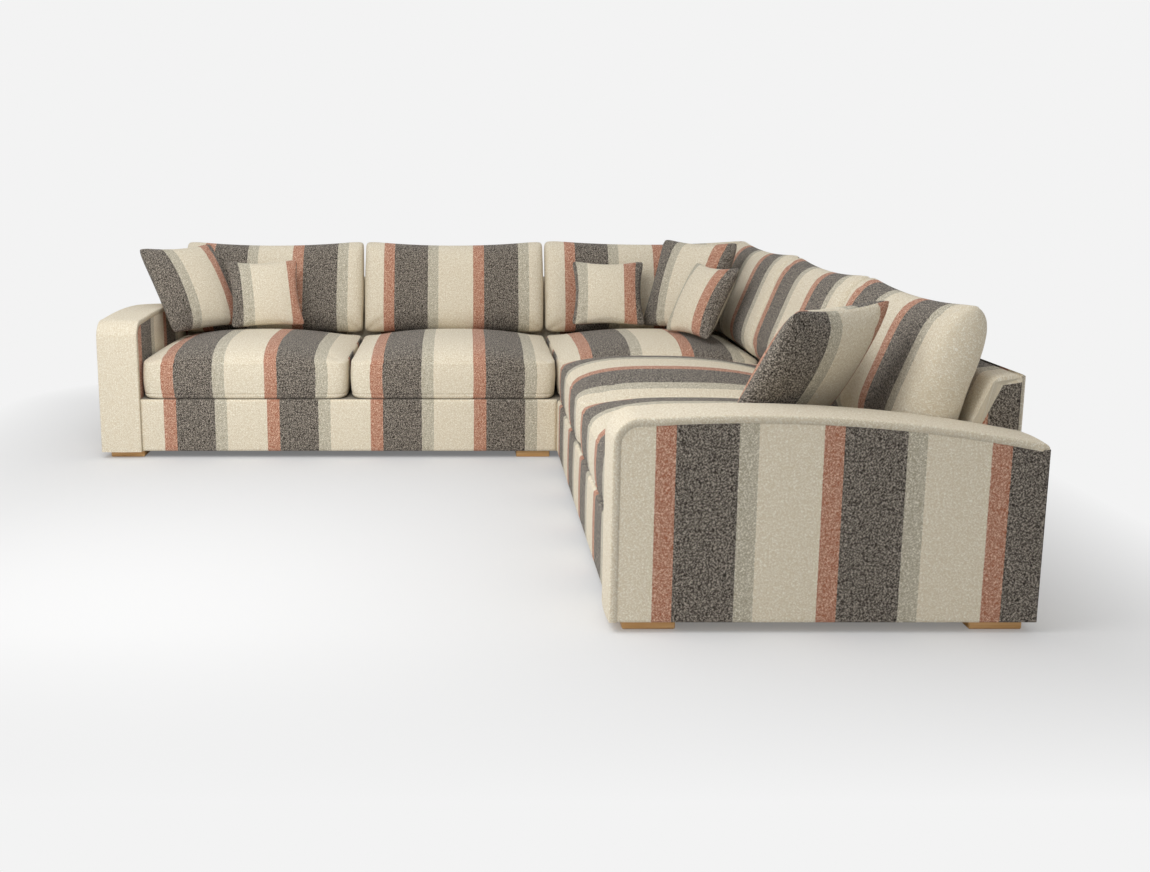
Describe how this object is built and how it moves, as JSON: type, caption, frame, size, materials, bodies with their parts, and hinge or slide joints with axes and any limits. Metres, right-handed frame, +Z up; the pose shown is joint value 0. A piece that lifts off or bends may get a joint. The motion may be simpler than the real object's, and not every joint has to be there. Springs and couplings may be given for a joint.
{
  "type": "corner sofa",
  "caption": "Corner sofa with loose crowned seat cushions, leaning back cushions and scatter cushions, low arms with plain bands and striped panels, and low square oak feet.",
  "frame": {"origin": "on the floor, in the middle of the square plan that both runs fill", "axes": "+Z up; the left run lies along X at the back and faces -Y; the right run lies along Y and faces -X"},
  "size_m": [2.87, 2.87, 0.8244],
  "materials": {
    "cushion_cloth": "woven stripe",
    "striped_cloth": "woven stripe",
    "plain_cloth": "plain weave",
    "deck_cloth": "plain weave",
    "dust_cloth": "felted",
    "webbing": "woven strap",
    "oak": "satin",
    "frame_timber": "sawn",
    "steel": "bright zinc"
  },
  "bodies": {
    "base": {"left_feet": "oak", "right_feet": "oak", "corner_feet": "oak", "left_seat_rails": "frame_timber", "right_seat_rails": "frame_timber", "left_cross_rails": "frame_timber", "right_cross_rails": "frame_timber", "corner_seat_rails": "frame_timber", "left_arm_frame": "frame_timber", "right_arm_frame": "frame_timber", "left_back_frame": "frame_timber", "right_back_frame": "frame_timber", "corner_back_frame": "frame_timber", "foot_blocks": "frame_timber", "left_seat_deck": "deck_cloth", "right_seat_deck": "deck_cloth", "corner_seat_deck": "deck_cloth", "left_front_panel": "striped_cloth", "right_front_panel": "striped_cloth", "left_arm_outer_panel": "striped_cloth", "right_arm_outer_panel": "striped_cloth", "left_arm_inner_panel": "striped_cloth", "right_arm_inner_panel": "striped_cloth", "left_back_pad": "striped_cloth", "right_back_pad": "striped_cloth", "left_back_end_panel": "striped_cloth", "right_back_end_panel": "striped_cloth", "left_back_cover": "striped_cloth", "right_back_cover": "striped_cloth", "corner_back_pad_left": "striped_cloth", "corner_back_pad_right": "striped_cloth", "corner_back_cover_left": "striped_cloth", "corner_back_cover_right": "striped_cloth", "left_arm_band": "plain_cloth", "right_arm_band": "plain_cloth", "left_dust_cover": "dust_cloth", "right_dust_cover": "dust_cloth", "corner_dust_cover": "dust_cloth", "foot_studs": "steel", "joining_bolts": "steel", "seat_webbing": "webbing"},
    "left_seat_cushion_outer_body": {"left_seat_cushion_outer": "cushion_cloth"},
    "right_seat_cushion_outer_body": {"right_seat_cushion_outer": "cushion_cloth"},
    "left_seat_cushion_inner_body": {"left_seat_cushion_inner": "cushion_cloth"},
    "right_seat_cushion_inner_body": {"right_seat_cushion_inner": "cushion_cloth"},
    "corner_seat_cushion_body": {"corner_seat_cushion": "cushion_cloth"},
    "left_back_cushion_outer_body": {"left_back_cushion_outer": "cushion_cloth"},
    "right_back_cushion_outer_body": {"right_back_cushion_outer": "cushion_cloth"},
    "left_back_cushion_inner_body": {"left_back_cushion_inner": "cushion_cloth"},
    "right_back_cushion_inner_body": {"right_back_cushion_inner": "cushion_cloth"},
    "corner_back_cushion_left_body": {"corner_back_cushion_left": "cushion_cloth"},
    "corner_back_cushion_right_body": {"corner_back_cushion_right": "cushion_cloth"},
    "left_scatter_cushion_large_body": {"left_scatter_cushion_large": "cushion_cloth"},
    "right_scatter_cushion_large_body": {"right_scatter_cushion_large": "cushion_cloth"},
    "left_scatter_cushion_small_body": {"left_scatter_cushion_small": "cushion_cloth"},
    "right_scatter_cushion_small_body": {"right_scatter_cushion_small": "cushion_cloth"},
    "corner_scatter_cushion_left_body": {"corner_scatter_cushion_left": "cushion_cloth"},
    "corner_scatter_cushion_large_body": {"corner_scatter_cushion_large": "cushion_cloth"},
    "corner_scatter_cushion_front_body": {"corner_scatter_cushion_front": "cushion_cloth"}
  },
  "joints": [
    {"name": "left_seat_cushion_outer_lift", "type": "slide", "parent": "base", "child": "left_seat_cushion_outer_body", "axis": [0, 0, 1], "range_m": [0, 0.25]},
    {"name": "left_back_cushion_outer_lift", "type": "slide", "parent": "left_seat_cushion_outer_body", "child": "left_back_cushion_outer_body", "axis": [0, 0, 1], "range_m": [0, 0.3]},
    {"name": "left_scatter_cushion_large_lift", "type": "slide", "parent": "left_back_cushion_outer_body", "child": "left_scatter_cushion_large_body", "axis": [0, 0, 1], "range_m": [0, 0.3]},
    {"name": "left_scatter_cushion_small_lift", "type": "slide", "parent": "left_scatter_cushion_large_body", "child": "left_scatter_cushion_small_body", "axis": [0, 0, 1], "range_m": [0, 0.3]},
    {"name": "left_seat_cushion_inner_lift", "type": "slide", "parent": "base", "child": "left_seat_cushion_inner_body", "axis": [0, 0, 1], "range_m": [0, 0.25]},
    {"name": "left_back_cushion_inner_lift", "type": "slide", "parent": "left_seat_cushion_inner_body", "child": "left_back_cushion_inner_body", "axis": [0, 0, 1], "range_m": [0, 0.3]},
    {"name": "right_seat_cushion_outer_lift", "type": "slide", "parent": "base", "child": "right_seat_cushion_outer_body", "axis": [0, 0, 1], "range_m": [0, 0.25]},
    {"name": "right_back_cushion_outer_lift", "type": "slide", "parent": "right_seat_cushion_outer_body", "child": "right_back_cushion_outer_body", "axis": [0, 0, 1], "range_m": [0, 0.3]},
    {"name": "right_scatter_cushion_large_lift", "type": "slide", "parent": "right_back_cushion_outer_body", "child": "right_scatter_cushion_large_body", "axis": [0, 0, 1], "range_m": [0, 0.3]},
    {"name": "right_scatter_cushion_small_lift", "type": "slide", "parent": "right_scatter_cushion_large_body", "child": "right_scatter_cushion_small_body", "axis": [0, 0, 1], "range_m": [0, 0.3]},
    {"name": "right_seat_cushion_inner_lift", "type": "slide", "parent": "base", "child": "right_seat_cushion_inner_body", "axis": [0, 0, 1], "range_m": [0, 0.25]},
    {"name": "right_back_cushion_inner_lift", "type": "slide", "parent": "right_seat_cushion_inner_body", "child": "right_back_cushion_inner_body", "axis": [0, 0, 1], "range_m": [0, 0.3]},
    {"name": "corner_seat_cushion_lift", "type": "slide", "parent": "base", "child": "corner_seat_cushion_body", "axis": [0, 0, 1], "range_m": [0, 0.25]},
    {"name": "corner_back_cushion_left_lift", "type": "slide", "parent": "corner_seat_cushion_body", "child": "corner_back_cushion_left_body", "axis": [0, 0, 1], "range_m": [0, 0.3]},
    {"name": "corner_back_cushion_right_lift", "type": "slide", "parent": "corner_back_cushion_left_body", "child": "corner_back_cushion_right_body", "axis": [0, 0, 1], "range_m": [0, 0.3]},
    {"name": "corner_scatter_cushion_large_lift", "type": "slide", "parent": "corner_back_cushion_right_body", "child": "corner_scatter_cushion_large_body", "axis": [0, 0, 1], "range_m": [0, 0.3]},
    {"name": "corner_scatter_cushion_left_lift", "type": "slide", "parent": "corner_scatter_cushion_large_body", "child": "corner_scatter_cushion_left_body", "axis": [0, 0, 1], "range_m": [0, 0.3]},
    {"name": "corner_scatter_cushion_front_lift", "type": "slide", "parent": "corner_scatter_cushion_left_body", "child": "corner_scatter_cushion_front_body", "axis": [0, 0, 1], "range_m": [0, 0.3]}
  ]
}
